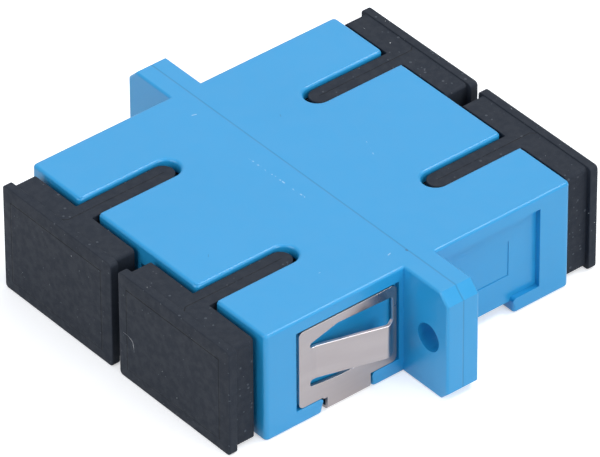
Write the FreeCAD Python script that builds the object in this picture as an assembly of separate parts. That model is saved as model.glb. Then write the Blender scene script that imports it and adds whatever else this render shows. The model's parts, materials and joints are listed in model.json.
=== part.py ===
"""Duplex SC fibre adapter with its panel clip and four dust caps.

X runs along the flange, Y along the fibres and Z up, through the key slots. The parting
plane of the two housing halves is Y = 0 and the underside is Z = 0. Sizes are in mm.
"""
import FreeCAD
import Part
import math
import os

Vector = FreeCAD.Vector

# ports and key slots
PORT_PITCH = 12.7
PORT_W = 9.0
PORT_H = 7.4
KEY_SLOT_W = 2.0
KEY_SLOT_LEN = 7.8

# housing half
HALF_LEN = 13.55
SIDE_WALL = 1.8
FLOOR_WALL = 0.72
ROOF_WALL = 0.88
CORNER_R = 0.35
EDGE_R = 0.25
WEB_WALL = 1.2
WEB_CORE_LEN = 8.5
WEB_CORE_INSET = 0.6

# flange
HOLE_PITCH = 30.5
HOLE_D = 2.2
HOLE_FROM_END = 2.0
FLANGE_T = 1.4
FLANGE_TOP_CUT = 0.85
FLANGE_FOOT_CUT = 0.7
FLANGE_EDGE_R = 0.2

# pins that line the two halves up
PIN_D = 0.9
PIN_LEN = 1.1
PIN_FROM_SIDE = 0.75
PIN_CLEAR = 0.05

# recess for the clip in each side of a half
RECESS_FROM_MOUTH = 2.7
RECESS_FROM_PARTING = 1.8
RECESS_FROM_TOP = 1.05
RECESS_Z = 1.27
RECESS_DEPTH = 0.42
TAB_LEN = 2.35
TAB_CORNER_R = 0.3
CHANNEL_DEPTH = 0.32
CHANNEL_CUT = 0.58
FLEX_POCKET_DEPTH = 0.05
FLEX_POCKET_CLEAR = 0.1
FLEX_POCKET_SETBACK = 0.7

# sheet metal clip
SHEET_T = 0.25
CLIP_STAND_OFF = 0.15
CLIP_FRONT_GAP = 0.27
CLIP_REAR_GAP = 0.2
CLIP_TOP_GAP = 0.15
CLIP_FOOT_GAP = 0.02
CLIP_CORNER_R = 0.4
CLIP_BEND_R = 0.1
CHANNEL_CLEAR = 0.04
RELIEF_W = 0.4
RELIEF_DROP = 0.14
NECK_CLEAR = 0.13
FRONT_BAR_W = 0.98
REAR_BAR_W = 0.34
TOP_BAR_W = 0.7
TOP_BAR_SWELL = 0.2
FOOT_BAR_W = 1.24
WINDOW_CORNER_R = 0.3

# spring tongue in the window of the clip, and the slots above and below its root
TOP_SLOT_W = 0.4
FOOT_SLOT_W = 0.52
SLOT_END_R = 0.2
FLARE_LEN = 2.4
FLARE_TOP = 0.64
FLARE_FOOT = 0.27
SPRING_ROOT = 0.55
SPRING_RUN = 4.88
SPRING_RISE = 1.52
SPRING_TIP_RUN = 0.6
SPRING_TIP_FALL = 0.4
SPRING_ROOT_R = 1.0
SPRING_TIP_R = 0.5

# zirconia sleeve
SLEEVE_BORE_D = 2.5
SLEEVE_WALL = 0.35
SLEEVE_LEN = 11.4
SLEEVE_SLIT = 0.5
SLEEVE_CLEAR = 0.05

# sleeve holder
BASE_RIM_SIDE = 0.4
BASE_RIM_TOP = 0.25
BASE_T = 1.5
BASE_CLEAR = 0.05
BARREL_D = 4.6
BARREL_BORE_D = 2.9
BARREL_LIP_LEN = 1.55
BARREL_LEAD = 0.3
HOOK_FROM_WALL = 0.3
HOOK_FROM_MOUTH = 3.1
HOOK_T = 0.8
HOOK_W = 3.4
HOOK_NOSE = 0.65

# dust cap
CAP_PLATE_T = 0.78
CAP_PLATE_DROP = 0.18
CAP_GAP = 0.8
CAP_CORNER_R = 0.32
CAP_CROWN_R = 0.2
CAP_BEVEL_INSET = 1.0
CAP_BEVEL_FALL = 0.1
CAP_BLOCK_T = 1.6
CAP_LIP_SIDE = 0.4
CAP_LIP_TOP = 0.1
CAP_STAND_OFF = 0.55
CAP_PLUG_CLEAR = 0.1
CAP_WALL = 1.0
CAP_SIDE_LEN = 2.2
CAP_RIB_CLEAR = 0.13
CAP_RIB_END_CLEAR = 0.42

PORT_X = PORT_PITCH / 2
PORT_Z = FLOOR_WALL + PORT_H / 2
PORT_TOP = FLOOR_WALL + PORT_H
HOUSING_H = PORT_TOP + ROOF_WALL
SIDE_X = PORT_X + PORT_W / 2 + SIDE_WALL
FLANGE_W = HOLE_PITCH + 2 * HOLE_FROM_END
RECESS_FLOOR_X = SIDE_X - RECESS_DEPTH
CLIP_OUTER_X = RECESS_FLOOR_X + CLIP_STAND_OFF + SHEET_T
WINDOW_FOOT = RECESS_Z + CLIP_FOOT_GAP + FOOT_BAR_W
WINDOW_TOP = HOUSING_H - RECESS_FROM_TOP - CLIP_TOP_GAP - TOP_BAR_W
SPRING_FOOT = WINDOW_FOOT + FLARE_FOOT + FOOT_SLOT_W
SPRING_TOP = WINDOW_TOP - FLARE_TOP - TOP_SLOT_W
NECK_FRONT_Y = RECESS_FROM_MOUTH - HALF_LEN + TAB_LEN + RELIEF_W
NECK_REAR_Y = -RECESS_FROM_PARTING - TAB_LEN - NECK_CLEAR
NECK_BEND_Z = CHANNEL_DEPTH - CHANNEL_CLEAR + CLIP_BEND_R
CAP_BACK_Y = -HALF_LEN - CAP_STAND_OFF


def in_xy(z):
    """Maps a flat outline to the plane at height z."""
    return lambda u, v: Vector(u, v, z)


def in_yz(x):
    """Maps a flat outline to the plane at x, with its first coordinate along Y."""
    return lambda u, v: Vector(x, u, v)


def in_xz(y):
    """Maps a flat outline to the plane at y, with its first coordinate along X."""
    return lambda u, v: Vector(u, y, v)


def outline(points, place):
    """Closed wire through (u, v, radius) points, each corner rounded by its radius."""
    count = len(points)
    starts, ends, middles = [], [], []
    for n, (u, v, radius) in enumerate(points):
        here = Vector(u, v, 0)
        before = Vector(*points[n - 1][:2], 0) - here
        after = Vector(*points[(n + 1) % count][:2], 0) - here
        before.normalize()
        after.normalize()
        half = before.getAngle(after) / 2
        reach = radius / math.tan(half)
        middle = before + after
        middle.normalize()
        centre = here + middle * (radius / math.sin(half))
        starts.append(here + before * reach)
        ends.append(here + after * reach)
        middles.append(centre - middle * radius)
    edges = []
    for n in range(count):
        start, end, middle = (place(p.x, p.y) for p in (starts[n], ends[n], middles[n]))
        if points[n][2] > 0:
            edges.append(Part.Arc(start, middle, end).toShape())
        onward = place(starts[(n + 1) % count].x, starts[(n + 1) % count].y)
        if end.distanceToPoint(onward) > 1e-6:
            edges.append(Part.LineSegment(end, onward).toShape())
    return Part.Wire(edges)


def prism(points, place, along):
    """Solid of a rounded outline pushed along a vector."""
    return Part.Face(outline(points, place)).extrude(along)


def rectangle(low_u, low_v, high_u, high_v, radius=0.0):
    """The four corners of a rectangle as outline points."""
    return [
        (low_u, low_v, radius),
        (high_u, low_v, radius),
        (high_u, high_v, radius),
        (low_u, high_v, radius),
    ]


def box(low, high):
    """Solid box between two corners."""
    size = [b - a for a, b in zip(low, high)]
    return Part.makeBox(*size, Vector(*low))


def ribbon(points, thickness):
    """Outline points of a strip of even thickness along a line of (u, v, radius) bends."""
    sides = ([], [])
    for n, (u, v, radius) in enumerate(points):
        here = Vector(u, v, 0)
        runs = []
        if n > 0:
            runs.append(here - Vector(*points[n - 1][:2], 0))
        if n < len(points) - 1:
            runs.append(Vector(*points[n + 1][:2], 0) - here)
        normals = [Vector(-run.y, run.x, 0).normalize() for run in runs]
        mean = normals[0] + normals[-1]
        mean.normalize()
        reach = thickness / 2 / mean.dot(normals[0])
        turn = runs[0].cross(runs[-1]).z
        for side, sign in zip(sides, (1, -1)):
            spot = here + mean * (sign * reach)
            inner = sign * turn > 0
            bend = radius - thickness / 2 if inner else radius + thickness / 2
            side.append((spot.x, spot.y, bend if radius else 0.0))
    return sides[0] + sides[1][::-1]


def flat_edges(shape, height):
    """Edges that lie in the plane at a height, apart from those on the parting plane."""
    found = []
    for edge in shape.Edges:
        bounds = edge.BoundBox
        level = abs(bounds.ZMin - height) < 1e-4 and abs(bounds.ZMax - height) < 1e-4
        if level and bounds.YMin < -1e-4:
            found.append(edge)
    return found


def mirrored(shape):
    """The same shape on the other side of the X = 0 plane."""
    return shape.mirror(Vector(0, 0, 0), Vector(1, 0, 0))


def turned(shape):
    """The same shape turned half round about the Z axis, for the rear half."""
    copy = shape.copy()
    copy.rotate(Vector(0, 0, 0), Vector(0, 0, 1), 180)
    return copy


def body_block():
    """Body of a half, with the two key slots in its top wall and rounded edges."""
    left, right, front = -SIDE_X, SIDE_X, -HALF_LEN
    plain = [
        (left, 0, 0),
        (left, front, CORNER_R),
        (right, front, CORNER_R),
        (right, 0, 0),
    ]
    slotted = [(left, 0, 0), (left, front, CORNER_R)]
    for x in (-PORT_X, PORT_X):
        low, high, end = x - KEY_SLOT_W / 2, x + KEY_SLOT_W / 2, front + KEY_SLOT_LEN
        slotted += [
            (low, front, 0),
            (low, end, KEY_SLOT_W / 2),
            (high, end, KEY_SLOT_W / 2),
            (high, front, 0),
        ]
    slotted += [(right, front, CORNER_R), (right, 0, 0)]
    lower = prism(plain, in_xy(0), Vector(0, 0, PORT_TOP))
    upper = prism(slotted, in_xy(PORT_TOP), Vector(0, 0, HOUSING_H - PORT_TOP))
    block = lower.fuse(upper).removeSplitter()
    block = block.makeFillet(EDGE_R, flat_edges(block, 0))
    return block.makeFillet(EDGE_R, flat_edges(block, HOUSING_H))


def flange_plate():
    """Flange of a half, with its cut corners and rounded front edges."""
    half = FLANGE_W / 2
    top, foot = FLANGE_TOP_CUT, FLANGE_FOOT_CUT
    corners = [
        (-half, foot, 0),
        (foot - half, 0, 0),
        (half - foot, 0, 0),
        (half, foot, 0),
        (half, HOUSING_H - top, 0),
        (half - top, HOUSING_H, 0),
        (top - half, HOUSING_H, 0),
        (-half, HOUSING_H - top, 0),
    ]
    plate = prism(corners, in_xz(0), Vector(0, -FLANGE_T, 0))
    front = [e for e in plate.Edges if e.BoundBox.YMax < -FLANGE_T + 1e-4]
    return plate.makeFillet(FLANGE_EDGE_R, front)


def recess_cut():
    """Recess in the +X side: the bed of the clip, the gap between its tabs and the pocket."""
    near, far = RECESS_FROM_MOUTH - HALF_LEN, -RECESS_FROM_PARTING
    low, high = RECESS_Z, HOUSING_H - RECESS_FROM_TOP
    bed = [
        (near, low, 0),
        (near + TAB_LEN, low, TAB_CORNER_R),
        (near + TAB_LEN, -1, 0),
        (far - TAB_LEN, -1, 0),
        (far - TAB_LEN, low, TAB_CORNER_R),
        (far, low, 0),
        (far, high, 0),
        (near, high, 0),
    ]
    cut = prism(bed, in_yz(RECESS_FLOOR_X), Vector(RECESS_DEPTH + 1, 0, 0))
    pocket = box(
        (
            RECESS_FLOOR_X - FLEX_POCKET_DEPTH,
            near + CLIP_FRONT_GAP + FRONT_BAR_W + SPRING_ROOT + FLEX_POCKET_SETBACK,
            SPRING_FOOT - FLEX_POCKET_CLEAR,
        ),
        (
            RECESS_FLOOR_X + 1,
            far - CLIP_REAR_GAP - REAR_BAR_W,
            SPRING_TOP + FLEX_POCKET_CLEAR,
        ),
    )
    return cut.fuse(pocket)


def channel_cut():
    """Channel across the underside for the strip of the clip, with room for its bends."""
    near = RECESS_FROM_MOUTH - HALF_LEN + TAB_LEN
    far = -RECESS_FROM_PARTING - TAB_LEN
    inner, cut_z = RECESS_FLOOR_X - CHANNEL_CUT, CHANNEL_DEPTH + CHANNEL_CUT
    section = [
        (-SIDE_X - 1, -1, 0),
        (SIDE_X + 1, -1, 0),
        (SIDE_X + 1, cut_z, 0),
        (RECESS_FLOOR_X, cut_z, 0),
        (inner, CHANNEL_DEPTH, 0),
        (-inner, CHANNEL_DEPTH, 0),
        (-RECESS_FLOOR_X, cut_z, 0),
        (-SIDE_X - 1, cut_z, 0),
    ]
    return prism(section, in_xz(near), Vector(0, far - near, 0))


def housing_half():
    """Front half of the housing: one moulding with two ports and a flange."""
    half = body_block().fuse(flange_plate()).removeSplitter()
    cuts = [recess_cut(), mirrored(recess_cut()), channel_cut()]
    seat_w = PORT_W / 2 + BASE_RIM_SIDE + BASE_CLEAR
    seat_h = PORT_H / 2 + BASE_RIM_TOP + BASE_CLEAR
    for x in (-PORT_X, PORT_X):
        port = box(
            (x - PORT_W / 2, -HALF_LEN - 1, FLOOR_WALL),
            (x + PORT_W / 2, 0, PORT_TOP),
        )
        seat = box(
            (x - seat_w, -BASE_T - BASE_CLEAR, PORT_Z - seat_h),
            (x + seat_w, 1, PORT_Z + seat_h),
        )
        cuts += [port, seat]
    core_x = (PORT_PITCH - PORT_W) / 2 - WEB_WALL
    core = box(
        (-core_x, -HALF_LEN - 1, FLOOR_WALL + WEB_CORE_INSET),
        (core_x, -HALF_LEN + WEB_CORE_LEN, PORT_TOP - WEB_CORE_INSET),
    )
    cuts.append(core)
    for x in (-HOLE_PITCH / 2, HOLE_PITCH / 2):
        start = Vector(x, -FLANGE_T - 1, HOUSING_H / 2)
        cuts.append(Part.makeCylinder(HOLE_D / 2, FLANGE_T + 2, start, Vector(0, 1, 0)))
    pin_x = SIDE_X - PIN_FROM_SIDE
    socket = Part.makeCylinder(
        PIN_D / 2 + PIN_CLEAR,
        PIN_LEN + PIN_CLEAR,
        Vector(-pin_x, 0, PORT_Z),
        Vector(0, -1, 0),
    )
    cuts.append(socket)
    pin = Part.makeCylinder(PIN_D / 2, PIN_LEN, Vector(pin_x, 0, PORT_Z), Vector(0, 1, 0))
    return half.cut(cuts).fuse(pin).removeSplitter()


def clip_side():
    """The +X arm of the clip: a plate with a window and an outward bent spring tongue."""
    near = RECESS_FROM_MOUTH - HALF_LEN + CLIP_FRONT_GAP
    far = -RECESS_FROM_PARTING - CLIP_REAR_GAP
    low = RECESS_Z + CLIP_FOOT_GAP
    high = HOUSING_H - RECESS_FROM_TOP - CLIP_TOP_GAP
    relief_y, relief_z = NECK_FRONT_Y - RELIEF_W + CLIP_FOOT_GAP, low - RELIEF_DROP
    plate = [
        (near, low, CLIP_CORNER_R),
        (relief_y, low, 0),
        (relief_y, relief_z, 0),
        (NECK_FRONT_Y, relief_z, 0),
        (NECK_FRONT_Y, NECK_BEND_Z, 0),
        (NECK_REAR_Y, NECK_BEND_Z, 0),
        (NECK_REAR_Y, low, 0),
        (far, low, CLIP_CORNER_R),
        (far, high, CLIP_CORNER_R),
        (near, high, CLIP_CORNER_R),
    ]
    arm = prism(plate, in_yz(CLIP_OUTER_X - SHEET_T), Vector(SHEET_T, 0, 0))
    root, window_end = near + FRONT_BAR_W, far - REAR_BAR_W
    mid_x = CLIP_OUTER_X - SHEET_T / 2
    bend = root + SPRING_ROOT
    crest = bend + SPRING_RUN
    window = [
        (root, SPRING_FOOT - FOOT_SLOT_W, SLOT_END_R),
        (root + FLARE_LEN, WINDOW_FOOT, 0),
        (window_end, WINDOW_FOOT, WINDOW_CORNER_R),
        (window_end, WINDOW_TOP - TOP_BAR_SWELL, WINDOW_CORNER_R),
        (root + FLARE_LEN, WINDOW_TOP, 0),
        (root, SPRING_TOP + TOP_SLOT_W, SLOT_END_R),
        (root, SPRING_TOP, SLOT_END_R),
        (bend, SPRING_TOP, 0),
        (bend, SPRING_FOOT, 0),
        (root, SPRING_FOOT, SLOT_END_R),
    ]
    arm = arm.cut(prism(window, in_yz(CLIP_OUTER_X - SHEET_T), Vector(SHEET_T, 0, 0)))
    line = [
        (mid_x, root, 0),
        (mid_x, bend, SPRING_ROOT_R),
        (mid_x + SPRING_RISE, crest, SPRING_TIP_R),
        (mid_x + SPRING_RISE - SPRING_TIP_FALL, crest + SPRING_TIP_RUN, 0),
    ]
    height = Vector(0, 0, SPRING_TOP - SPRING_FOOT)
    spring = prism(ribbon(line, SHEET_T), in_xy(SPRING_FOOT), height)
    return arm.fuse(spring).removeSplitter()


def panel_clip():
    """Clip folded from one strip: it passes under the housing and up both its sides."""
    strip_z = CHANNEL_DEPTH - CHANNEL_CLEAR - SHEET_T / 2
    mid_x = CLIP_OUTER_X - SHEET_T / 2
    bend = CLIP_BEND_R + SHEET_T / 2
    fold = [
        (-mid_x, NECK_BEND_Z, 0),
        (-mid_x, strip_z, bend),
        (mid_x, strip_z, bend),
        (mid_x, NECK_BEND_Z, 0),
    ]
    along = Vector(0, NECK_REAR_Y - NECK_FRONT_Y, 0)
    strip = prism(ribbon(fold, SHEET_T), in_xz(NECK_FRONT_Y), along)
    side = clip_side()
    return strip.fuse([side, mirrored(side)]).removeSplitter()


def sleeve_holder():
    """Holder of a port: base plate, barrel round the sleeve and two latch hooks."""
    base_x, base_z = PORT_W / 2 + BASE_RIM_SIDE, PORT_H / 2 + BASE_RIM_TOP
    base = box((-base_x, -BASE_T, -base_z), (base_x, 0, base_z))
    seat_y = -SLEEVE_LEN / 2 - SLEEVE_CLEAR
    tip_y = seat_y - BARREL_LIP_LEN
    section = [
        (0, 0, 0),
        (BARREL_D / 2, 0, 0),
        (BARREL_D / 2, tip_y, 0),
        (0, tip_y, 0),
    ]
    axis = Vector(0, 1, 0)
    barrel = Part.Face(outline(section, in_xy(0))).revolve(Vector(0, 0, 0), axis)
    seat_r = SLEEVE_BORE_D / 2 + SLEEVE_WALL + SLEEVE_CLEAR
    bore_r = BARREL_BORE_D / 2
    hollow = [
        (0, 1, 0),
        (seat_r, 1, 0),
        (seat_r, seat_y, 0),
        (bore_r, seat_y, 0),
        (bore_r, tip_y + BARREL_LEAD, 0),
        (bore_r + BARREL_LEAD, tip_y, 0),
        (bore_r + BARREL_LEAD, tip_y - 1, 0),
        (0, tip_y - 1, 0),
    ]
    bore = Part.Face(outline(hollow, in_xy(0))).revolve(Vector(0, 0, 0), axis)
    outer = PORT_W / 2 - HOOK_FROM_WALL
    inner = outer - HOOK_T
    nose = inner - HOOK_NOSE
    tip = HOOK_FROM_MOUTH - HALF_LEN
    hook = [
        (outer, -BASE_T / 2, 0),
        (inner, -BASE_T / 2, 0),
        (inner, tip + 2 * HOOK_NOSE, 0),
        (nose, tip + 1.7 * HOOK_NOSE, 0),
        (nose, tip + HOOK_NOSE, 0),
        (inner, tip, 0),
        (outer - HOOK_T / 3, tip, 0),
        (outer, tip + HOOK_T / 3, 0),
    ]
    arm = prism(hook, in_xy(-HOOK_W / 2), Vector(0, 0, HOOK_W))
    return base.fuse([barrel, arm, mirrored(arm)]).cut(bore).removeSplitter()


def split_sleeve():
    """Zirconia sleeve that lines two ferrules up, slit along its top."""
    bore_r = SLEEVE_BORE_D / 2
    start = Vector(0, -SLEEVE_LEN / 2, 0)
    along = Vector(0, 1, 0)
    tube = Part.makeCylinder(bore_r + SLEEVE_WALL, SLEEVE_LEN, start, along)
    tube = tube.cut(Part.makeCylinder(bore_r, SLEEVE_LEN, start, along))
    slit = box(
        (-SLEEVE_SLIT / 2, -SLEEVE_LEN, 0),
        (SLEEVE_SLIT / 2, SLEEVE_LEN, bore_r + 2 * SLEEVE_WALL),
    )
    return tube.cut(slit)


def dust_cap():
    """Cap of a port: bevelled front plate, shoulder block and a hollow plug with a key rib."""
    plate_y = CAP_BACK_Y - CAP_BLOCK_T
    front_y = plate_y - CAP_PLATE_T
    rim_y = front_y + CAP_BEVEL_FALL
    half_w = (PORT_PITCH - CAP_GAP) / 2
    half_h = HOUSING_H - PORT_Z - CAP_PLATE_DROP
    face = rectangle(-half_w, -half_h, half_w, half_h, CAP_CORNER_R)
    crown_w, crown_h = half_w - CAP_BEVEL_INSET, half_h - CAP_BEVEL_INSET
    crown = rectangle(-crown_w, -crown_h, crown_w, crown_h, CAP_CROWN_R)
    plate = prism(face, in_xz(rim_y), Vector(0, plate_y - rim_y, 0))
    rims = [outline(face, in_xz(rim_y)), outline(crown, in_xz(front_y))]
    bevel = Part.makeLoft(rims, True, True)
    block_w, block_h = half_w - CAP_LIP_SIDE, half_h - CAP_LIP_TOP
    block = prism(
        rectangle(-block_w, -block_h, block_w, block_h, CAP_CORNER_R),
        in_xz(plate_y),
        Vector(0, CAP_BLOCK_T, 0),
    )
    plug_w, plug_h = PORT_W / 2 - CAP_PLUG_CLEAR, PORT_H / 2 - CAP_PLUG_CLEAR
    plug_end = -HALF_LEN + KEY_SLOT_LEN - CAP_RIB_END_CLEAR
    plug = box((-plug_w, CAP_BACK_Y, -plug_h), (plug_w, plug_end, plug_h))
    rib_w = KEY_SLOT_W / 2 - CAP_RIB_CLEAR
    rib = [
        (-rib_w, CAP_BACK_Y, 0),
        (rib_w, CAP_BACK_Y, 0),
        (rib_w, plug_end, rib_w),
        (-rib_w, plug_end, rib_w),
    ]
    rib_foot = plug_h - CAP_WALL / 2
    rib = prism(rib, in_xy(rib_foot), Vector(0, 0, block_h - rib_foot))
    wide, high = plug_w - CAP_WALL, plug_h - CAP_WALL
    hollow = box((-wide, plate_y, -high), (wide, plug_end + 1, high))
    sides = box((-PORT_W, -HALF_LEN + CAP_SIDE_LEN, -high), (PORT_W, plug_end + 1, high))
    solid = plate.fuse([bevel, block, plug, rib]).removeSplitter()
    return solid.cut([hollow, sides]).removeSplitter()


def at_port(shape, x):
    """A piece made on the Y axis, moved to the axis of the port at x."""
    return shape.translated(Vector(x, 0, PORT_Z))


def model():
    """Every node of the adapter and its shape."""
    half = housing_half()
    nodes = {
        "front_housing": half,
        "rear_housing": turned(half),
        "panel_clip": panel_clip(),
    }
    holder, sleeve, cap = sleeve_holder(), split_sleeve(), dust_cap()
    for side, x in (("left", -PORT_X), ("right", PORT_X)):
        nodes[f"sleeve_{side}"] = at_port(sleeve, x)
        nodes[f"sleeve_holder_front_{side}"] = at_port(holder, x)
        nodes[f"sleeve_holder_rear_{side}"] = at_port(turned(holder), x)
        nodes[f"dust_cap_front_{side}"] = at_port(cap, x)
        nodes[f"dust_cap_rear_{side}"] = at_port(turned(cap), x)
    return nodes


os.makedirs("parts", exist_ok=True)
for name, shape in model().items():
    shape.exportStep(f"parts/{name}.step")
    print(name, shape.isValid(), len(shape.Solids), round(shape.Volume, 3))
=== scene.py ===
"""Visual model of a duplex SC fibre adapter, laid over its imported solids."""

import json
import math

import bmesh
import bpy
from bpy.props import FloatProperty, FloatVectorProperty, IntProperty, PointerProperty
from bpy.types import Operator, Panel, PropertyGroup
from mathutils import Matrix, Vector


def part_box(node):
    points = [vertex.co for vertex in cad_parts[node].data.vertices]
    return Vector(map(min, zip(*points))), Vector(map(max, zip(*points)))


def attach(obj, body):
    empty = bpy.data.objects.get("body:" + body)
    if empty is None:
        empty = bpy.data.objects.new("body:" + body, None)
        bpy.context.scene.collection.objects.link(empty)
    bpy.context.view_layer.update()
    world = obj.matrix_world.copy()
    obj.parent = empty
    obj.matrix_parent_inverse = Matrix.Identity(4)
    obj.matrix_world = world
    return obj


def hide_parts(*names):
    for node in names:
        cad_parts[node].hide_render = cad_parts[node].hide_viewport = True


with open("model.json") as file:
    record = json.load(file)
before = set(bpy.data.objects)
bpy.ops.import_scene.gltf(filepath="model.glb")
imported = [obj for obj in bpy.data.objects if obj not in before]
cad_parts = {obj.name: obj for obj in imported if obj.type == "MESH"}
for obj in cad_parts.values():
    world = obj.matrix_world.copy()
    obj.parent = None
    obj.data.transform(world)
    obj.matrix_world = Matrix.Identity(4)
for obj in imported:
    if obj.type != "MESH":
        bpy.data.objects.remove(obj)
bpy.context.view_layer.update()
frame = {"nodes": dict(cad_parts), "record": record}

bl_info = {
    "name": "Duplex Fibre Adapter",
    "version": (1, 0, 0),
    "blender": (4, 5, 0),
    "location": "3D View > Sidebar > Adapter",
    "description": "Builds the finishes, details and studio of a duplex SC fibre adapter",
    "category": "Add Mesh",
}

MM = 0.001
SIDES = ("left", "right")
ENDS = ("front", "rear")
CAPS = [f"dust_cap_{end}_{side}" for end in ENDS for side in SIDES]
HOLDERS = [f"sleeve_holder_{end}_{side}" for end in ENDS for side in SIDES]
SLEEVES = [f"sleeve_{side}" for side in SIDES]
HOUSINGS = [f"{end}_housing" for end in ENDS]
HOUSING_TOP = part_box("front_housing")[1].z
CAP_LOW, CAP_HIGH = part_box("dust_cap_rear_right")
MOUTH_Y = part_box("rear_housing")[1].y
PORT_X = (CAP_LOW.x + CAP_HIGH.x) / 2

# How the solids' faces are merged and their edges rounded, in millimetres and degrees.
MERGE_DISTANCE = 0.0004
FLAT_ANGLE = 0.4
SHARP_ANGLE = 50.0
SMOOTH_BELOW = 38.0
SHORTEST_EDGE = 0.001
SLICE_STEP = 0.8
SLICE_MARGIN = 0.3
ON_PLANE = 0.00001

# How many of its own widths a rounding needs free on both faces of an edge.
ROOM_IN_WIDTHS = 2.3

# How strongly the larger faces pull the shading of a rounding towards them, up to 100.
NORMAL_WEIGHT = 80

# Band behind a port's mouth in which the shoulder of its cap lies, in metres.
SHOULDER_BAND = (0.45 * MM, 0.7 * MM)

# Thin rounding of the sleeve holders, in metres: outward edges, then the rest.
HOLDER_EDGES = (0.04 * MM, 0.02 * MM)

# Lamps of the studio: name, place, size in metres and power in watts. All aim at the origin.
LAMPS = (
    ("overhead", (0.05, 0.1, 0.75), 0.8, 2.6),
    ("key", (0.0, -0.68, 0.41), 0.6, 3.2),
    ("side", (0.68, 0.06, 0.32), 0.4, 2.75),
    ("back", (-0.62, 0.51, 0.61), 0.5, 0.5),
    ("rear", (0.2, 0.46, 0.76), 0.3, 2.8),
)

# Tint of the even light, reach of the floor from its middle in metres, and the glow that
# brings the floor near white for the camera and in reflections.
FILL_COLOUR = (0.72, 0.94, 1.3, 1)
FLOOR_REACH = 1.5
FLOOR_GLOW = 0.5

# Long lens above the front right corner: the point that it looks at, its distance in metres,
# and its turn from the front, its height and its roll in degrees.
CAMERA_AIM = (0.0002694, -0.0003046, 0.0045)
CAMERA_DISTANCE = 0.5557927
CAMERA_AZIMUTH = 50.62198
CAMERA_ELEVATION = 37.23627
CAMERA_ROLL = -0.31281
CAMERA_LENS = 483.56


# ---------------------------------------------------------------- settings


class HousingSettings(PropertyGroup):
    """Finish of the two blue housing halves"""

    colour: FloatVectorProperty(
        name="Plastic Colour",
        description="Colour of the moulded housing",
        subtype="COLOR",
        min=0,
        max=1,
        default=(0.016, 0.285, 0.58),
    )
    rounding: FloatProperty(
        name="Edge Rounding",
        description="Width of the rounding on the outward edges that have room for it",
        subtype="DISTANCE",
        unit="LENGTH",
        min=0,
        default=0.00032,
    )
    edge_break: FloatProperty(
        name="Edge Break",
        description="Width of the rounding on the other edges left sharp by the mould",
        subtype="DISTANCE",
        unit="LENGTH",
        min=0,
        default=0.00005,
    )


class ClipSettings(PropertyGroup):
    """Finish of the sprung panel clip"""

    colour: FloatVectorProperty(
        name="Steel Colour",
        description="Colour of the rolled strip",
        subtype="COLOR",
        min=0,
        max=1,
        default=(0.355, 0.323, 0.326),
    )
    edge_break: FloatProperty(
        name="Edge Break",
        description="Width of the rounding left on the sheared edges",
        subtype="DISTANCE",
        unit="LENGTH",
        min=0,
        default=0.00003,
    )
    tongue_reach: FloatProperty(
        name="Tongue Reach",
        description="How much farther back the crest of each tongue lies",
        subtype="DISTANCE",
        unit="LENGTH",
        min=0,
        default=0.00028,
    )


class CapSettings(PropertyGroup):
    """Finish of the four dust caps"""

    colour: FloatVectorProperty(
        name="Cap Colour",
        description="Colour of the soft moulded caps",
        subtype="COLOR",
        min=0,
        max=1,
        default=(0.014, 0.018, 0.026),
    )
    edge_break: FloatProperty(
        name="Edge Break",
        description="Width of the rounding on the caps' edges",
        subtype="DISTANCE",
        unit="LENGTH",
        min=0,
        default=0.00007,
    )
    front_closing: FloatProperty(
        name="Front Gap Closing",
        description="How much nearer the shoulders of the front caps lie to the housing",
        subtype="DISTANCE",
        unit="LENGTH",
        min=0,
        default=0.00016,
    )
    rear_closing: FloatProperty(
        name="Rear Gap Closing",
        description="How much nearer the shoulders of the rear caps lie to the housing",
        subtype="DISTANCE",
        unit="LENGTH",
        min=0,
        default=0.0003,
    )
    speck_density: FloatProperty(
        name="Lint Density",
        description="Flecks of lint on each square millimetre of a cap",
        min=0,
        default=0.13,
    )
    speck_size: FloatProperty(
        name="Lint Size",
        description="Width of a fleck of lint",
        subtype="DISTANCE",
        unit="LENGTH",
        min=0,
        default=0.00007,
    )
    seed: IntProperty(
        name="Lint Seed",
        description="Seed of the scatter of lint",
        min=0,
        default=4,
    )


class StageSettings(PropertyGroup):
    """Studio round the adapter"""

    floor_colour: FloatVectorProperty(
        name="Floor Colour",
        description="Colour of the floor",
        subtype="COLOR",
        min=0,
        max=1,
        default=(0.75, 0.75, 0.75),
    )
    ambient: FloatProperty(
        name="Ambient Level",
        description="Level of the even light from all round",
        min=0,
        default=0.18,
    )


# ---------------------------------------------------------------- node helpers


def add(tree, kind, at, **values):
    """Add a node, set its properties and return it."""
    node = tree.nodes.new(kind)
    node.location = at
    for key, value in values.items():
        setattr(node, key, value)
    return node


def maths(tree, operation, at, *terms, clamp=False):
    """Add a Math node fed with sockets or numbers, and return its output."""
    node = add(tree, "ShaderNodeMath", at, operation=operation, use_clamp=clamp)
    for socket, term in zip(node.inputs, terms):
        feed(tree, term, socket)
    return node.outputs[0]


def vector_maths(tree, operation, at, *terms):
    """Add a Vector Math node fed with sockets or vectors, and return the node."""
    node = add(tree, "ShaderNodeVectorMath", at, operation=operation)
    for socket, term in zip(node.inputs, terms):
        feed(tree, term, socket)
    return node


def feed(tree, term, socket):
    """Link a socket, or set a plain value."""
    if isinstance(term, bpy.types.NodeSocket):
        tree.links.new(term, socket)
    else:
        socket.default_value = term


def ramp(tree, term, at, low, high, to_low=0.0, to_high=1.0):
    """Map a value smoothly from one range to another."""
    node = add(tree, "ShaderNodeMapRange", at, interpolation_type="SMOOTHSTEP")
    feed(tree, term, node.inputs["Value"])
    for name, value in (
        ("From Min", low),
        ("From Max", high),
        ("To Min", to_low),
        ("To Max", to_high),
    ):
        feed(tree, value, node.inputs[name])
    return node.outputs["Result"]


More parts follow.
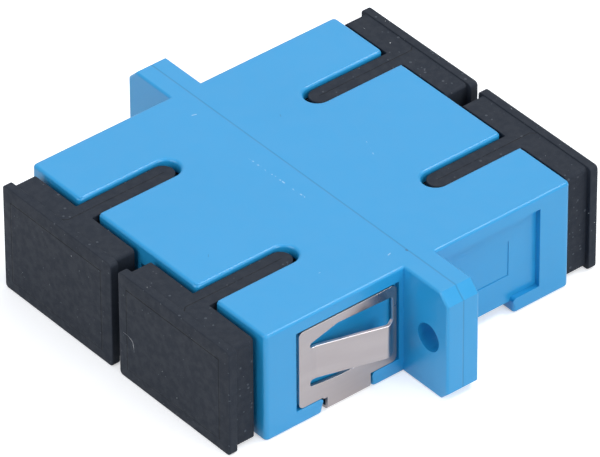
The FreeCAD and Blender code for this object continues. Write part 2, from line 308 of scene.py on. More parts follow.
def blend_colours(tree, mask, first, second, at):
    """Mix two colours by a mask and return the colour."""
    node = add(tree, "ShaderNodeMix", at, data_type="RGBA")
    feed(tree, mask, node.inputs[0])
    feed(tree, first, node.inputs[6])
    feed(tree, second, node.inputs[7])
    return node.outputs[2]


def new_group(name, inputs, outputs):
    """Start a shader node group with named sockets, and return it with its two ends."""
    tree = bpy.data.node_groups.new(name, "ShaderNodeTree")
    for label, kind, value in inputs:
        socket = tree.interface.new_socket(label, in_out="INPUT", socket_type=kind)
        socket.default_value = value
    for label, kind in outputs:
        tree.interface.new_socket(label, in_out="OUTPUT", socket_type=kind)
    start = add(tree, "NodeGroupInput", (-900, 0))
    end = add(tree, "NodeGroupOutput", (900, 0))
    return tree, start, end


def use_group(tree, group, at, **values):
    """Place a node group in a material and set its named inputs."""
    node = add(tree, "ShaderNodeGroup", at, node_tree=group)
    for label, value in values.items():
        feed(tree, value, node.inputs[label.replace("_", " ")])
    return node


def moulded_grain():
    """Fine unevenness of a moulded or rolled surface: a height and two even tones."""
    group = bpy.data.node_groups.get("Moulded Grain")
    if group:
        return group
    group, start, end = new_group(
        "Moulded Grain",
        [
            ("Scale", "NodeSocketFloat", 1000.0),
            ("Stretch", "NodeSocketVector", (1.0, 1.0, 1.0)),
        ],
        [
            ("Height", "NodeSocketFloat"),
            ("Tone", "NodeSocketFloat"),
            ("Cloud", "NodeSocketFloat"),
        ],
    )
    coords = add(group, "ShaderNodeTexCoord", (-900, -250))
    scaled = vector_maths(
        group, "MULTIPLY", (-700, -200), coords.outputs["Object"], start.outputs["Stretch"]
    )
    fine = add(group, "ShaderNodeTexNoise", (-450, 150))
    group.links.new(scaled.outputs[0], fine.inputs["Vector"])
    group.links.new(start.outputs["Scale"], fine.inputs["Scale"])
    fine.inputs["Detail"].default_value = 3.0
    fine.inputs["Roughness"].default_value = 0.55
    broad_scale = maths(group, "MULTIPLY", (-650, 0), start.outputs["Scale"], 0.12)
    broad = add(group, "ShaderNodeTexNoise", (-450, -150))
    group.links.new(scaled.outputs[0], broad.inputs["Vector"])
    group.links.new(broad_scale, broad.inputs["Scale"])
    broad.inputs["Detail"].default_value = 2.0
    cloud = add(group, "ShaderNodeTexNoise", (-450, -450))
    group.links.new(coords.outputs["Object"], cloud.inputs["Vector"])
    cloud.inputs["Scale"].default_value = 120.0
    cloud.inputs["Detail"].default_value = 3.0
    group.links.new(fine.outputs[0], end.inputs["Height"])
    group.links.new(broad.outputs[0], end.inputs["Tone"])
    group.links.new(cloud.outputs[0], end.inputs["Cloud"])
    return group


def scattered_specks():
    """Small scattered specks of uneven size, as a mask."""
    group = bpy.data.node_groups.get("Scattered Specks")
    if group:
        return group
    group, start, end = new_group(
        "Scattered Specks",
        [
            ("Cells", "NodeSocketFloat", 1200.0),
            ("Share", "NodeSocketFloat", 0.3),
            ("Size", "NodeSocketFloat", 0.12),
        ],
        [("Mask", "NodeSocketFloat")],
    )
    coords = add(group, "ShaderNodeTexCoord", (-900, -250))
    cells = add(group, "ShaderNodeTexVoronoi", (-600, 0))
    group.links.new(coords.outputs["Object"], cells.inputs["Vector"])
    group.links.new(start.outputs["Cells"], cells.inputs["Scale"])
    parts = add(group, "ShaderNodeSeparateColor", (-350, -150))
    group.links.new(cells.outputs["Color"], parts.inputs[0])
    kept = maths(group, "LESS_THAN", (-150, -150), parts.outputs[0], start.outputs["Share"])
    reach = maths(group, "MULTIPLY", (-150, -350), parts.outputs[1], start.outputs["Size"])
    inside = maths(group, "LESS_THAN", (50, 50), cells.outputs["Distance"], reach)
    mask = maths(group, "MULTIPLY", (250, 0), inside, kept)
    group.links.new(mask, end.inputs["Mask"])
    return group


def drawn_line():
    """A straight line between two points, broken up by noise, as a mask: rubs, nicks, and
    painted shade along mould lines.
    """
    group = bpy.data.node_groups.get("Drawn Line")
    if group:
        return group
    group, start, end = new_group(
        "Drawn Line",
        [
            ("Point", "NodeSocketVector", (0.0, 0.0, 0.0)),
            ("From", "NodeSocketVector", (0.0, 0.0, 0.0)),
            ("To", "NodeSocketVector", (0.0, 0.0, 0.0)),
            ("Width", "NodeSocketFloat", 0.0001),
            ("Breaks", "NodeSocketFloat", 0.0),
            ("Beat", "NodeSocketFloat", 3000.0),
        ],
        [("Mask", "NodeSocketFloat")],
    )
    point = start.outputs["Point"]
    away = vector_maths(group, "SUBTRACT", (-700, 0), point, start.outputs["From"]).outputs[0]
    along = vector_maths(
        group, "SUBTRACT", (-700, -200), start.outputs["To"], start.outputs["From"]
    ).outputs[0]
    reach = vector_maths(group, "DOT_PRODUCT", (-500, 0), away, along).outputs["Value"]
    square = vector_maths(group, "DOT_PRODUCT", (-500, -200), along, along).outputs["Value"]
    share = maths(group, "DIVIDE", (-300, 0), reach, square, clamp=True)
    foot = add(group, "ShaderNodeVectorMath", (-100, 0), operation="SCALE")
    group.links.new(along, foot.inputs[0])
    group.links.new(share, foot.inputs["Scale"])
    gap = vector_maths(group, "DISTANCE", (100, 0), away, foot.outputs[0]).outputs["Value"]
    line = ramp(group, gap, (300, 0), 0.0, start.outputs["Width"], 1.0, 0.0)
    noise = add(group, "ShaderNodeTexNoise", (-100, -300))
    group.links.new(point, noise.inputs["Vector"])
    group.links.new(start.outputs["Beat"], noise.inputs["Scale"])
    noise.inputs["Detail"].default_value = 1.0
    upper = maths(group, "ADD", (100, -500), start.outputs["Breaks"], 0.08)
    broken = ramp(group, noise.outputs[0], (300, -300), start.outputs["Breaks"], upper)
    group.links.new(maths(group, "MULTIPLY", (500, 0), line, broken), end.inputs["Mask"])
    return group


def flat_seam():
    """A seam that lies all along one plane across the y axis, as a mask."""
    group = bpy.data.node_groups.get("Flat Seam")
    if group:
        return group
    group, start, end = new_group(
        "Flat Seam",
        [
            ("Point", "NodeSocketVector", (0.0, 0.0, 0.0)),
            ("Width", "NodeSocketFloat", 0.00005),
        ],
        [("Mask", "NodeSocketFloat")],
    )
    parts = add(group, "ShaderNodeSeparateXYZ", (-600, 0))
    group.links.new(start.outputs["Point"], parts.inputs[0])
    gap = maths(group, "ABSOLUTE", (-400, 0), parts.outputs[1])
    group.links.new(
        ramp(group, gap, (-100, 0), 0.0, start.outputs["Width"], 1.0, 0.0), end.inputs["Mask"]
    )
    return group


def line_marks(tree, point, marks, at):
    """Join drawn lines into one mask.

    Each line is (from, to, width, breaks, strength), with its lengths in millimetres.
    """
    total = None
    for number, (begin, finish, width, breaks, strength) in enumerate(marks):
        node = use_group(
            tree,
            drawn_line(),
            (at[0], at[1] - 220 * number),
            Point=point,
            From=[c * MM for c in begin],
            To=[c * MM for c in finish],
            Width=width * MM,
            Breaks=breaks,
        )
        mask = maths(
            tree, "MULTIPLY", (at[0] + 200, at[1] - 220 * number), node.outputs[0], strength
        )
        if total is None:
            total = mask
        else:
            total = maths(
                tree, "MAXIMUM", (at[0] + 400, at[1] - 220 * number), total, mask
            )
    return total


def new_material(name, **values):
    """Make a node material with one Principled shader, and set its plain sockets."""
    material = bpy.data.materials.new(name)
    material.use_nodes = True
    tree = material.node_tree
    tree.nodes.clear()
    shader = add(tree, "ShaderNodeBsdfPrincipled", (500, 0))
    output = add(tree, "ShaderNodeOutputMaterial", (850, 0))
    tree.links.new(shader.outputs[0], output.inputs[0])
    for label, value in values.items():
        shader.inputs[label.replace("_", " ")].default_value = value
    return material, tree, shader


def emboss(tree, shader, height, depth, at):
    """Feed a height through a Bump node into the shader's normal."""
    bump = add(tree, "ShaderNodeBump", at)
    bump.inputs["Strength"].default_value = 1.0
    bump.inputs["Distance"].default_value = depth
    feed(tree, height, bump.inputs["Height"])
    tree.links.new(bump.outputs[0], shader.inputs["Normal"])


def vary_roughness(tree, shader, term, low, high):
    """Let the roughness wander between two levels with an even tone."""
    rough = ramp(tree, term, (-600, -200), 0.3, 0.7, low, high)
    tree.links.new(rough, shader.inputs["Roughness"])


def seen_rays(tree, left, height):
    """Pick out the camera's, mirrored and transmitted rays, as 1 against 0."""
    path = add(tree, "ShaderNodeLightPath", (left, height))
    camera, glossy = path.outputs["Is Camera Ray"], path.outputs["Is Glossy Ray"]
    seen = maths(tree, "ADD", (left + 200, height), camera, glossy)
    through = path.outputs["Is Transmission Ray"]
    return maths(tree, "ADD", (left + 400, height), seen, through, clamp=True)


def shade(colour, factor):
    """Scale a colour and give it an alpha."""
    return tuple(min(1.0, c * factor) for c in colour) + (1.0,)


# ---------------------------------------------------------------- materials


def blue_plastic(colour):
    """Satin moulded plastic with a faint cloudiness, a seam darkened with painted shade, rubs
    and a few nicks.
    """
    material, tree, shader = new_material("blue_plastic", IOR=1.5)
    coords = add(tree, "ShaderNodeTexCoord", (-1500, -600))
    point = coords.outputs["Object"]
    grain = use_group(tree, moulded_grain(), (-900, 0), Scale=9000.0)
    tone = blend_colours(
        tree, grain.outputs["Cloud"], shade(colour, 0.97), shade(colour, 1.03), (-600, 200)
    )
    top = HOUSING_TOP / MM
    rubs = [
        ((-3.6, -1.65, top), (-1.6, -1.7, top), 0.09, 0.52, 0.4),
        ((-1.2, -1.62, top), (2.45, -1.55, top), 0.09, 0.5, 0.45),
        ((-9.95, -1.55, top), (-9.85, -1.25, top), 0.06, 0.0, 0.6),
        ((10.97, -1.38, top), (10.9, -1.12, top), 0.05, 0.0, 0.6),
        ((9.5, -6.25, top), (9.5, -6.15, top), 0.06, 0.0, 0.3),
        ((-1.5, 6.4, top), (1.6, 5.2, top), 0.07, 0.56, 0.3),
    ]
    nicks = [
        ((3.31, -10.85, top), (3.11, -10.68, top), 0.035, 0.0, 0.5),
        ((11.3, -0.06, top), (11.4, -0.04, top), 0.12, 0.0, 0.9),
        ((-6.1, 3.2, top), (-5.9, 3.1, top), 0.05, 0.0, 0.4),
    ]
    pale = line_marks(tree, point, rubs, (-1100, 1500))
    dark = line_marks(tree, point, nicks, (-1100, -900))
    # Painted shade: the seam along the parting plane is darkened as if shade lay in its shallow
    # groove; the bump below dents the groove itself.
    seam = use_group(tree, flat_seam(), (-900, -1700), Point=point, Width=0.00011)
    seam_shade = maths(tree, "MULTIPLY", (-700, -1700), seam.outputs[0], 0.3)
    dark = maths(tree, "MAXIMUM", (-500, -1200), dark, seam_shade)
    tone = blend_colours(tree, pale, tone, (0.6, 0.75, 0.85, 1.0), (-300, 300))
    # The nicks and the painted seam shade darken the plastic's colour here.
    tone = blend_colours(tree, dark, tone, shade(colour, 0.16), (-50, 200))
    tree.links.new(tone, shader.inputs["Base Color"])
    vary_roughness(tree, shader, grain.outputs["Tone"], 0.29, 0.35)
    groove = maths(tree, "MULTIPLY", (-300, -1700), seam.outputs[0], 8.0)
    height = maths(tree, "SUBTRACT", (0, -400), grain.outputs["Height"], groove)
    emboss(tree, shader, height, 0.0000012, (200, -400))
    return material


def spring_steel(colour):
    """Rolled stainless strip with fine lines along the strip."""
    material, tree, shader = new_material("spring_steel", Metallic=1.0)
    grain = use_group(
        tree, moulded_grain(), (-900, 0), Scale=6000.0, Stretch=(1.0, 0.12, 1.6)
    )
    tone = blend_colours(
        tree, grain.outputs["Tone"], shade(colour, 0.9), shade(colour, 1.08), (-600, 200)
    )
    tree.links.new(tone, shader.inputs["Base Color"])
    vary_roughness(tree, shader, grain.outputs["Cloud"], 0.22, 0.34)
    emboss(tree, shader, grain.outputs["Height"], 0.0000015, (200, -400))
    return material


def sheared_steel_highlight(colour):
    """Sheared edge steel made brighter than the strip: a painted highlight standing for the
    glints on the cut edges.
    """
    bright = shade(colour, 1.9)[:3]
    material, tree, shader = new_material("sheared_steel_highlight", Metallic=1.0)
    grain = use_group(tree, moulded_grain(), (-900, 0), Scale=9000.0)
    tone = blend_colours(
        tree, grain.outputs["Tone"], shade(bright, 0.92), shade(bright, 1.08), (-600, 200)
    )
    tree.links.new(tone, shader.inputs["Base Color"])
    vary_roughness(tree, shader, grain.outputs["Tone"], 0.28, 0.4)
    return material


def cap_plastic(colour):
    """Soft matt moulding with a fine grain, pale dust, and painted shade along the face inset
    and the rib's mould line.
    """
    material, tree, shader = new_material("cap_plastic", IOR=1.45)
    shader.inputs["Specular IOR Level"].default_value = 0.22
    coords = add(tree, "ShaderNodeTexCoord", (-1500, -600))
    point = vector_maths(tree, "ABSOLUTE", (-1300, -600), coords.outputs["Object"]).outputs[0]
    grain = use_group(tree, moulded_grain(), (-900, 0), Scale=16000.0)
    specks = use_group(
        tree, scattered_specks(), (-900, -400), Cells=3200.0, Share=0.16, Size=0.34
    )
    tone = blend_colours(
        tree, grain.outputs["Cloud"], shade(colour, 0.9), shade(colour, 1.12), (-600, 200)
    )
    fine = ramp(tree, grain.outputs["Height"], (-600, 400), 0.3, 0.75, 0.0, 0.25)
    tone = blend_colours(tree, fine, tone, shade(colour, 2.2), (-400, 300))
    dusty = maths(tree, "MULTIPLY", (-600, -400), specks.outputs["Mask"], 0.22)
    tone = blend_colours(tree, dusty, tone, (0.2, 0.22, 0.25, 1), (-200, 200))
    low, high = CAP_LOW / MM, CAP_HIGH / MM
    inset, face = 1.0, high.y
    x0, x1 = low.x + inset, high.x - inset
    z0, z1 = low.z + inset, high.z - inset
    rib_x, rib_z = PORT_X / MM, high.z - 0.1
    rib_end, lip, turn = MOUTH_Y / MM - 6.6, face - 0.85, 0.3
    # Painted shade: dark lines along the small step of the face inset and along the rib's mould
    # line, where shade would fall; the groove bump below dents them too.
    lines = [
        ((x0, face, z0), (x0, face, z1), 0.07, 0.0, 0.8),
        ((x1, face, z0), (x1, face, z1), 0.07, 0.0, 0.8),
        ((x0, face, z1), (x1, face, z1), 0.08, 0.0, 0.9),
        ((x0, face, z0), (x1, face, z0), 0.06, 0.0, 0.5),
        ((rib_x, rib_end, rib_z), (rib_x, lip - turn, rib_z), 0.06, 0.3, 0.9),
        ((rib_x, lip - turn, rib_z), (rib_x + turn, lip, rib_z), 0.06, 0.0, 0.9),
    ]
    dark = line_marks(tree, point, lines, (-1100, -900))
    # Painted shade: the lines darken the cap's colour.
    tone = blend_colours(tree, dark, tone, shade(colour, 0.12), (0, 200))
    tree.links.new(tone, shader.inputs["Base Color"])
    vary_roughness(tree, shader, grain.outputs["Tone"], 0.6, 0.75)
    groove = maths(tree, "MULTIPLY", (-200, -500), dark, 4.0)
    height = maths(tree, "SUBTRACT", (0, -400), grain.outputs["Height"], groove)
    emboss(tree, shader, height, 0.000006, (200, -400))
    return material


def lint():
    """Lint caught on the caps, dull to pale."""
    material, tree, shader = new_material("lint", Roughness=0.8)
    grain = use_group(tree, moulded_grain(), (-900, 0), Scale=9000.0)
    bright = ramp(tree, grain.outputs["Tone"], (-600, 400), 0.45, 0.68)
    dull, pale = (0.12, 0.13, 0.15, 1), (0.85, 0.86, 0.86, 1)
    tone = blend_colours(tree, bright, dull, pale, (-300, 200))
    tree.links.new(tone, shader.inputs["Base Color"])
    return material


def holder_plastic():
    """Natural glass-filled plastic of the sleeve holders."""
    material, tree, shader = new_material("holder_plastic", IOR=1.5)
    grain = use_group(tree, moulded_grain(), (-900, 0), Scale=8000.0)
    tone = blend_colours(
        tree, grain.outputs["Cloud"], (0.72, 0.7, 0.65, 1), (0.84, 0.83, 0.79, 1), (-600, 200)
    )
    tree.links.new(tone, shader.inputs["Base Color"])
    vary_roughness(tree, shader, grain.outputs["Tone"], 0.48, 0.6)
    emboss(tree, shader, grain.outputs["Height"], 0.000003, (200, -400))
    return material


def zirconia():
    """Polished off-white ceramic."""
    material, tree, shader = new_material("zirconia", IOR=2.1)
    grain = use_group(tree, moulded_grain(), (-900, 0), Scale=5000.0)
    tone = blend_colours(
        tree, grain.outputs["Cloud"], (0.86, 0.84, 0.78, 1), (0.93, 0.92, 0.88, 1), (-600, 200)
    )
    tree.links.new(tone, shader.inputs["Base Color"])
    vary_roughness(tree, shader, grain.outputs["Tone"], 0.1, 0.16)
    emboss(tree, shader, grain.outputs["Height"], 0.0000005, (200, -400))
    return material


# ---------------------------------------------------------------- mesh helpers


def is_sharp(edge):
    """Tell whether an edge is sharp enough to be rounded."""
    return edge.is_manifold and edge.calc_face_angle(0) > math.radians(SHARP_ANGLE)


def depth_of(face, edge):
    """How far a face reaches away from one of its edges."""
    start = edge.verts[0].co
    along = (edge.verts[1].co - start).normalized()
    away = (vert.co - start for vert in face.verts)
    return max((gap - along * gap.dot(along)).length for gap in away)


def round_edges(bm, edges, width, segments, clamp):
    """Round edges by a width, in the unit of the mesh."""
    bmesh.ops.bevel(
        bm,
        geom=edges,
        offset=width,
        offset_type="OFFSET",
        segments=segments,
        profile=0.5,
        affect="EDGES",
        clamp_overlap=clamp,
        miter_outer="ARC",
    )


def slice_up(bm, step):
    """Cut all faces across at short steps, so that a rounding shades evenly all along."""
    for axis in range(3):
        normal = Vector([float(axis == other) for other in range(3)])
        places = [vert.co[axis] for vert in bm.verts]
        low, high = min(places) + SLICE_MARGIN, max(places) - SLICE_MARGIN
        count = max(1, round((high - low) / step))
        for number in range(count + 1):
            bmesh.ops.bisect_plane(
                bm,
                geom=[*bm.verts, *bm.edges, *bm.faces],
                dist=ON_PLANE,
                plane_co=normal * (low + (high - low) * number / count),
                plane_no=normal,
            )


def merged_copy(node, rounding, edge_break, kept_rims=(), step=None):
    """Copy a solid with its triangles merged to faces, and round its sharp edges.

    Outward edges with room on both sides take the wide rounding, the rest the edge break.
    Edges whose two ends both pass one of the tests in kept_rims stay sharp. A step in
    millimetres cuts the faces across at that spacing.
    """
    source = frame["nodes"][node]
    bm = bmesh.new()
    bm.from_mesh(source.data)
    bm.transform(Matrix.Scale(1 / MM, 4))
    bmesh.ops.remove_doubles(bm, verts=bm.verts, dist=MERGE_DISTANCE)
    bmesh.ops.dissolve_limit(
        bm,
        angle_limit=math.radians(FLAT_ANGLE),
        verts=bm.verts,
        edges=bm.edges,
        use_dissolve_boundaries=False,
    )

    def at_rim(edge):
        return any(all(is_at(vert.co) for vert in edge.verts) for is_at in kept_rims)

    width = rounding / MM
    roomy = [
        e
        for e in bm.edges
        if is_sharp(e)
        and e.is_convex
        and not at_rim(e)
        and min(depth_of(face, e) for face in e.link_faces) > ROOM_IN_WIDTHS * width
    ]
    round_edges(bm, roomy, width, segments=4, clamp=False)
    rest = [e for e in bm.edges if is_sharp(e) and not at_rim(e)]
    round_edges(bm, rest, edge_break / MM, segments=2, clamp=True)
    if step:
        slice_up(bm, step)
    bmesh.ops.dissolve_degenerate(bm, edges=bm.edges, dist=SHORTEST_EDGE)
    for face in bm.faces:
        face.smooth = True
    limit = math.radians(SMOOTH_BELOW)
    for edge in bm.edges:
        edge.smooth = not edge.is_manifold or edge.calc_face_angle(0) < limit
    bm.transform(Matrix.Scale(MM, 4))
    mesh = bpy.data.meshes.new(f"{node}_skin")
    bm.to_mesh(mesh)
    bm.free()
    return mesh


def add_piece(name, mesh, material, body, nodes=()):
    """Make a mesh a finished piece of a body, in place of the solids it stands for."""
    mesh.name = name
    mesh.materials.clear()
    mesh.materials.append(material)
    piece = bpy.data.objects.new(name, mesh)
    bpy.context.scene.collection.objects.link(piece)
    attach(piece, body)
    if nodes:
        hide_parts(*nodes)
    return piece


def close_gap(mesh, node, settings):
    """Bring the shoulder behind a cap's plate nearer to the mouth of its port."""
    by = settings.rear_closing if "rear" in node else settings.front_closing
    near, far = SHOULDER_BAND
    for vert in mesh.vertices:
        if near < abs(vert.co.y) - MOUTH_Y < far:
            vert.co.y -= math.copysign(by, vert.co.y)


def even_normals(piece):
    """Weight the normals by face area, so that flat faces stay flat beside a rounding."""
    modifier = piece.modifiers.new("Even Normals", "WEIGHTED_NORMAL")
    modifier.keep_sharp = True
    modifier.weight = NORMAL_WEIGHT


def dress(name, material):
    """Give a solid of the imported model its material."""
    for slot in frame["nodes"][name].material_slots:
        slot.material = material


def take_mesh(holder):
    """Turn the evaluated shape of an object into a plain mesh, and remove the object."""
    graph = bpy.context.evaluated_depsgraph_get()
    mesh = bpy.data.meshes.new_from_object(holder.evaluated_get(graph))
    bpy.data.objects.remove(holder)
    return mesh


# ---------------------------------------------------------------- operators


class ADAPTER_OT_stage(Operator):
    """Build the floor, the lights and the camera"""

    bl_idname = "adapter.stage"
    bl_label = "Studio"

    def execute(self, context):
        settings = context.scene.adapter_stage
        scene = context.scene
        scene.view_settings.view_transform = "Standard"
        floor = bpy.data.meshes.new("floor")
        corners = ((-1, -1), (1, -1), (1, 1), (-1, 1))
        floor.from_pydata(
            [(x * FLOOR_REACH, y * FLOOR_REACH, 0) for x, y in corners], [], [(0, 1, 2, 3)]
        )
        plane = bpy.data.objects.new("floor", floor)
        scene.collection.objects.link(plane)
        floor.materials.append(self.floor_material(settings.floor_colour))
        self.light_world(scene, settings.ambient)
        for lamp in LAMPS:
            self.add_lamp(scene, *lamp)
        self.place_camera(scene)
        return {"FINISHED"}

    def floor_material(self, colour):
        """Pale floor that the camera and reflections see near white, with the shadow kept."""
        material, tree, shader = new_material("floor", Roughness=0.9)
        shader.inputs["Specular IOR Level"].default_value = 0.0
        noise = add(tree, "ShaderNodeTexNoise", (-600, 0))
        noise.inputs["Scale"].default_value = 6.0
        coords = add(tree, "ShaderNodeTexCoord", (-800, 0))
        tree.links.new(coords.outputs["Object"], noise.inputs["Vector"])
        tone = blend_colours(
            tree, noise.outputs[0], shade(colour, 0.99), shade(colour, 1.01), (-300, 0)
        )
        tree.links.new(tone, shader.inputs["Base Color"])
        shader.inputs["Emission Color"].default_value = (1.0, 1.0, 1.0, 1.0)
        glow = maths(tree, "MULTIPLY", (100, 500), seen_rays(tree, -600, 500), FLOOR_GLOW)
        tree.links.new(glow, shader.inputs["Emission Strength"])
        return material

    def light_world(self, scene, level):
        """Even light from all round, seen as white."""
        world = bpy.data.worlds.new("studio")
        scene.world = world
        world.use_nodes = True
        tree = world.node_tree
        tree.nodes.clear()
        seen = seen_rays(tree, -600, 0)
        back = add(tree, "ShaderNodeBackground", (250, 0))
        colour = blend_colours(tree, seen, FILL_COLOUR, (1, 1, 1, 1), (0, -250))
        tree.links.new(colour, back.inputs["Color"])
        strength = ramp(tree, seen, (0, 0), 0.0, 1.0, level, 1.0)
        tree.links.new(strength, back.inputs["Strength"])
        output = add(tree, "ShaderNodeOutputWorld", (450, 0))
        tree.links.new(back.outputs[0], output.inputs[0])

    def add_lamp(self, scene, name, place, size, power):
        """Add one soft square lamp aimed at the origin."""
        lamp = bpy.data.lights.new(name, "AREA")
        lamp.shape = "SQUARE"
        lamp.size = size
        lamp.energy = power
        holder = bpy.data.objects.new(name, lamp)
        holder.location = place
        holder.rotation_euler = (-Vector(place)).to_track_quat("-Z", "Y").to_euler()
        scene.collection.objects.link(holder)

    def place_camera(self, scene):
        """Place the camera by its aim, distance and angles."""
        camera = bpy.data.cameras.new("camera")
        camera.sensor_width = 36.0
        camera.lens = CAMERA_LENS
        camera.clip_start = 0.01
        camera.clip_end = 20.0
        holder = bpy.data.objects.new("camera", camera)
        turn = (
            Matrix.Rotation(math.radians(CAMERA_AZIMUTH), 4, "Z")
            @ Matrix.Rotation(math.radians(90 - CAMERA_ELEVATION), 4, "X")
            @ Matrix.Rotation(math.radians(CAMERA_ROLL), 4, "Z")
        )
        back_off = Matrix.Translation((0, 0, CAMERA_DISTANCE))
        holder.matrix_world = Matrix.Translation(CAMERA_AIM) @ turn @ back_off
        scene.collection.objects.link(holder)
        scene.camera = holder


class ADAPTER_OT_housing(Operator):
    """Finish the two housing halves"""

    bl_idname = "adapter.housing"
    bl_label = "Housing Halves"

    def execute(self, context):
        settings = context.scene.adapter_housing
        plastic = blue_plastic(settings.colour)
        holes = next(m for m in frame["record"]["mounts"] if m["name"] == "flange_holes")
        half_pitch = holes["dims"]["spacing_x_mm"] / 2
        hole_radius, hole_z = holes["dims"]["hole_r_mm"], holes["pos_m"][2] / MM
        across, top, mouth = CAP_HIGH.x / MM, HOUSING_TOP / MM, MOUTH_Y / MM
        lip, close = 0.4, 0.02

        def on_seam(place):
            return abs(place.y) < close

        def port_rim(place):
            inside = abs(place.x) < across - lip and lip < place.z < top - lip
            return inside and abs(place.y) > mouth - close

        def round_hole(place):
            out = math.hypot(abs(place.x) - half_pitch, place.z - hole_z)
            return out < hole_radius + close / 2

        rims = (on_seam, port_rim, round_hole)
        for node in HOUSINGS:
            mesh = merged_copy(node, settings.rounding, settings.edge_break, rims, SLICE_STEP)
            piece = add_piece(f"{node}_shell", mesh, plastic, "adapter", [node])
            even_normals(piece)
        return {"FINISHED"}


class ADAPTER_OT_clip(Operator):
    """Finish the folded panel clip"""

    bl_idname = "adapter.clip"
    bl_label = "Panel Clip"

    def execute(self, context):
        settings = context.scene.adapter_clip
        steel = spring_steel(settings.colour)
        mesh = merged_copy("panel_clip", settings.edge_break, 0.3 * settings.edge_break)
        self.draw_back(mesh, settings.tongue_reach)
        piece = add_piece(
            "panel_clip_strip", mesh, steel, "adapter", ["panel_clip"]
        )
        # Painted highlight: a second, brighter steel for the cut edges.
        mesh.materials.append(sheared_steel_highlight(settings.colour))
        self.paint_edge_highlight(mesh)
        even_normals(piece)
        return {"FINISHED"}

    def paint_edge_highlight(self, mesh):
        """Give the brighter steel, a painted highlight, to the edge faces of the windows and
        tongues.
        """
        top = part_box("panel_clip")[1].z
        low, high = 0.4 * top, top - 0.2 * MM
        for face in mesh.polygons:
            # Painted highlight: edge faces are picked by which way they face, and the strip's
            # top edge is left out.
            edge_on = abs(face.normal.z) > 0.25 or abs(face.normal.x) < 0.5
            if edge_on and low < face.center.z < high:
                face.material_index = 1

    def draw_back(self, mesh, by):
        """Draw the crest and tip of each tongue farther back, and leave the root in place."""
        flats = [face for face in mesh.polygons if abs(face.normal.x) > 0.99]
        plate = abs(max(flats, key=lambda face: face.area).center.x) + 0.02 * MM
        tongue = [vert for vert in mesh.vertices if abs(vert.co.x) > plate]
        root = min(vert.co.y for vert in tongue)
        crest = max(tongue, key=lambda vert: abs(vert.co.x)).co.y
        for vert in tongue:
            vert.co.y += by * min(1.0, (vert.co.y - root) / (crest - root))


class ADAPTER_OT_caps(Operator):
    """Finish the four dust caps"""

    bl_idname = "adapter.caps"
    bl_label = "Dust Caps"

    def execute(self, context):
        settings = context.scene.adapter_caps
        plastic = cap_plastic(settings.colour)
        for node in CAPS:
            mesh = merged_copy(node, settings.edge_break, 0.5 * settings.edge_break)
            close_gap(mesh, node, settings)
            piece = add_piece(f"{node}_moulding", mesh, plastic, node, [node])
            even_normals(piece)
        return {"FINISHED"}


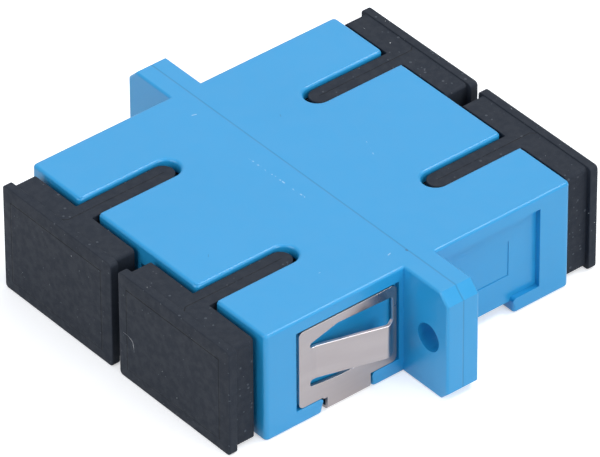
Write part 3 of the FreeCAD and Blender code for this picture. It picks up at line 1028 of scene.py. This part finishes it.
class ADAPTER_OT_lint(Operator):
    """Scatter lint over the caps, and lay one hair on a cap's face"""

    bl_idname = "adapter.lint"
    bl_label = "Lint and Hair"

    def execute(self, context):
        settings = context.scene.adapter_caps
        fibre = lint()
        tree = self.scatter_tree()
        for number, node in enumerate(CAPS):
            ground = frame["nodes"][node].data.copy()
            close_gap(ground, node, settings)
            carrier = bpy.data.objects.new("lint_carrier", ground)
            context.scene.collection.objects.link(carrier)
            modifier = carrier.modifiers.new("Lint Scatter", "NODES")
            modifier.node_group = tree
            values = {
                "Density": settings.speck_density / MM**2,
                "Size": settings.speck_size,
                "Seed": settings.seed + number,
                "Material": fibre,
            }
            for item in tree.interface.items_tree:
                if item.in_out == "INPUT" and item.name in values:
                    modifier[item.identifier] = values[item.name]
            mesh = take_mesh(carrier)
            if not mesh.polygons:
                raise RuntimeError(f"no lint was scattered on {node}")
            add_piece(f"{node}_lint", mesh, fibre, node)
        self.lay_hair(fibre)
        return {"FINISHED"}

    def scatter_tree(self):
        """Geometry Nodes that scatter small flat flecks on every face."""
        tree = bpy.data.node_groups.new("Lint Scatter", "GeometryNodeTree")
        sockets = (
            ("Geometry", "NodeSocketGeometry"),
            ("Density", "NodeSocketFloat"),
            ("Size", "NodeSocketFloat"),
            ("Seed", "NodeSocketInt"),
            ("Material", "NodeSocketMaterial"),
        )
        for label, kind in sockets:
            tree.interface.new_socket(label, in_out="INPUT", socket_type=kind)
        tree.interface.new_socket("Geometry", in_out="OUTPUT", socket_type="NodeSocketGeometry")
        start = add(tree, "NodeGroupInput", (-900, 0))
        end = add(tree, "NodeGroupOutput", (1300, 0))
        points = add(tree, "GeometryNodeDistributePointsOnFaces", (-100, 0))
        tree.links.new(start.outputs["Geometry"], points.inputs["Mesh"])
        tree.links.new(start.outputs["Density"], points.inputs["Density"])
        tree.links.new(start.outputs["Seed"], points.inputs["Seed"])
        fleck = add(tree, "GeometryNodeMeshIcoSphere", (-100, -500))
        fleck.inputs["Subdivisions"].default_value = 1
        half = maths(tree, "MULTIPLY", (-300, -500), start.outputs["Size"], 0.5)
        tree.links.new(half, fleck.inputs["Radius"])
        flatten = add(tree, "GeometryNodeTransform", (100, -500))
        flatten.inputs["Scale"].default_value = (1.0, 1.0, 0.3)
        tree.links.new(fleck.outputs["Mesh"], flatten.inputs["Geometry"])
        grow = add(tree, "FunctionNodeRandomValue", (100, -800), data_type="FLOAT_VECTOR")
        grow.inputs[0].default_value = (0.25, 0.25, 0.4)
        grow.inputs[1].default_value = (1.9, 0.9, 1.0)
        tree.links.new(start.outputs["Seed"], grow.inputs["Seed"])
        copies = add(tree, "GeometryNodeInstanceOnPoints", (400, 0))
        tree.links.new(points.outputs["Points"], copies.inputs["Points"])
        tree.links.new(flatten.outputs["Geometry"], copies.inputs["Instance"])
        tree.links.new(points.outputs["Rotation"], copies.inputs["Rotation"])
        tree.links.new(grow.outputs[0], copies.inputs["Scale"])
        whole = add(tree, "GeometryNodeRealizeInstances", (700, 0))
        tree.links.new(copies.outputs[0], whole.inputs[0])
        finish = add(tree, "GeometryNodeSetMaterial", (1000, 0))
        tree.links.new(whole.outputs[0], finish.inputs["Geometry"])
        tree.links.new(start.outputs["Material"], finish.inputs["Material"])
        tree.links.new(finish.outputs[0], end.inputs[0])
        return tree

    def lay_hair(self, fibre):
        """One short curved hair on the face of the front right cap."""
        node = "dust_cap_front_right"
        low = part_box(node)[0]
        curve = bpy.data.curves.new("hair", "CURVE")
        curve.dimensions = "3D"
        curve.bevel_depth = 0.014 * MM
        curve.bevel_resolution = 2
        curve.use_fill_caps = True
        spline = curve.splines.new("NURBS")
        path = ((0.6, 3.95), (1.15, 3.95), (1.6, 3.75), (1.7, 3.4), (1.75, 2.9))
        spline.points.add(len(path) - 1)
        for point, (across, up) in zip(spline.points, path):
            point.co = (low.x + across * MM, low.y + 0.006 * MM, low.z + up * MM, 1.0)
        spline.order_u = 3
        spline.use_endpoint_u = True
        holder = bpy.data.objects.new("hair_path", curve)
        bpy.context.scene.collection.objects.link(holder)
        add_piece("dust_cap_hair", take_mesh(holder), fibre, node)


class ADAPTER_OT_inner_parts(Operator):
    """Finish the sleeve holders and the split sleeves behind the caps"""

    bl_idname = "adapter.inner_parts"
    bl_label = "Holders and Sleeves"

    def execute(self, context):
        plastic, ceramic = holder_plastic(), zirconia()
        for node in HOLDERS:
            mesh = merged_copy(node, *HOLDER_EDGES)
            piece = add_piece(
                f"{node}_moulding", mesh, plastic, "adapter", [node]
            )
            even_normals(piece)
        for node in SLEEVES:
            dress(node, ceramic)
        return {"FINISHED"}


class ADAPTER_PT_panel(Panel):
    """Sidebar panel that lists the pieces"""

    bl_idname = "ADAPTER_PT_panel"
    bl_label = "Duplex Fibre Adapter"
    bl_space_type = "VIEW_3D"
    bl_region_type = "UI"
    bl_category = "Adapter"

    def draw(self, context):
        scene = context.scene
        for operator, settings in STEPS:
            box = self.layout.box()
            box.operator(operator.bl_idname)
            if settings:
                group = getattr(scene, settings)
                for name in group.__annotations__:
                    box.prop(group, name)


STEPS = (
    (ADAPTER_OT_stage, "adapter_stage"),
    (ADAPTER_OT_housing, "adapter_housing"),
    (ADAPTER_OT_clip, "adapter_clip"),
    (ADAPTER_OT_caps, "adapter_caps"),
    (ADAPTER_OT_lint, None),
    (ADAPTER_OT_inner_parts, None),
)
SETTINGS = {
    "adapter_housing": HousingSettings,
    "adapter_clip": ClipSettings,
    "adapter_caps": CapSettings,
    "adapter_stage": StageSettings,
}


def register():
    """Register the classes and hang the settings on the scene."""
    for name, group in SETTINGS.items():
        bpy.utils.register_class(group)
        setattr(bpy.types.Scene, name, PointerProperty(type=group))
    for operator, _ in STEPS:
        bpy.utils.register_class(operator)
    bpy.utils.register_class(ADAPTER_PT_panel)


def unregister():
    """Take the classes and the settings away again."""
    bpy.utils.unregister_class(ADAPTER_PT_panel)
    for operator, _ in reversed(STEPS):
        bpy.utils.unregister_class(operator)
    for name, group in SETTINGS.items():
        delattr(bpy.types.Scene, name)
        bpy.utils.unregister_class(group)


def main():
    """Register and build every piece."""
    register()
    for operator, _ in STEPS:
        family, name = operator.bl_idname.split(".")
        getattr(getattr(bpy.ops, family), name)()


if __name__ == "__main__":
    main()
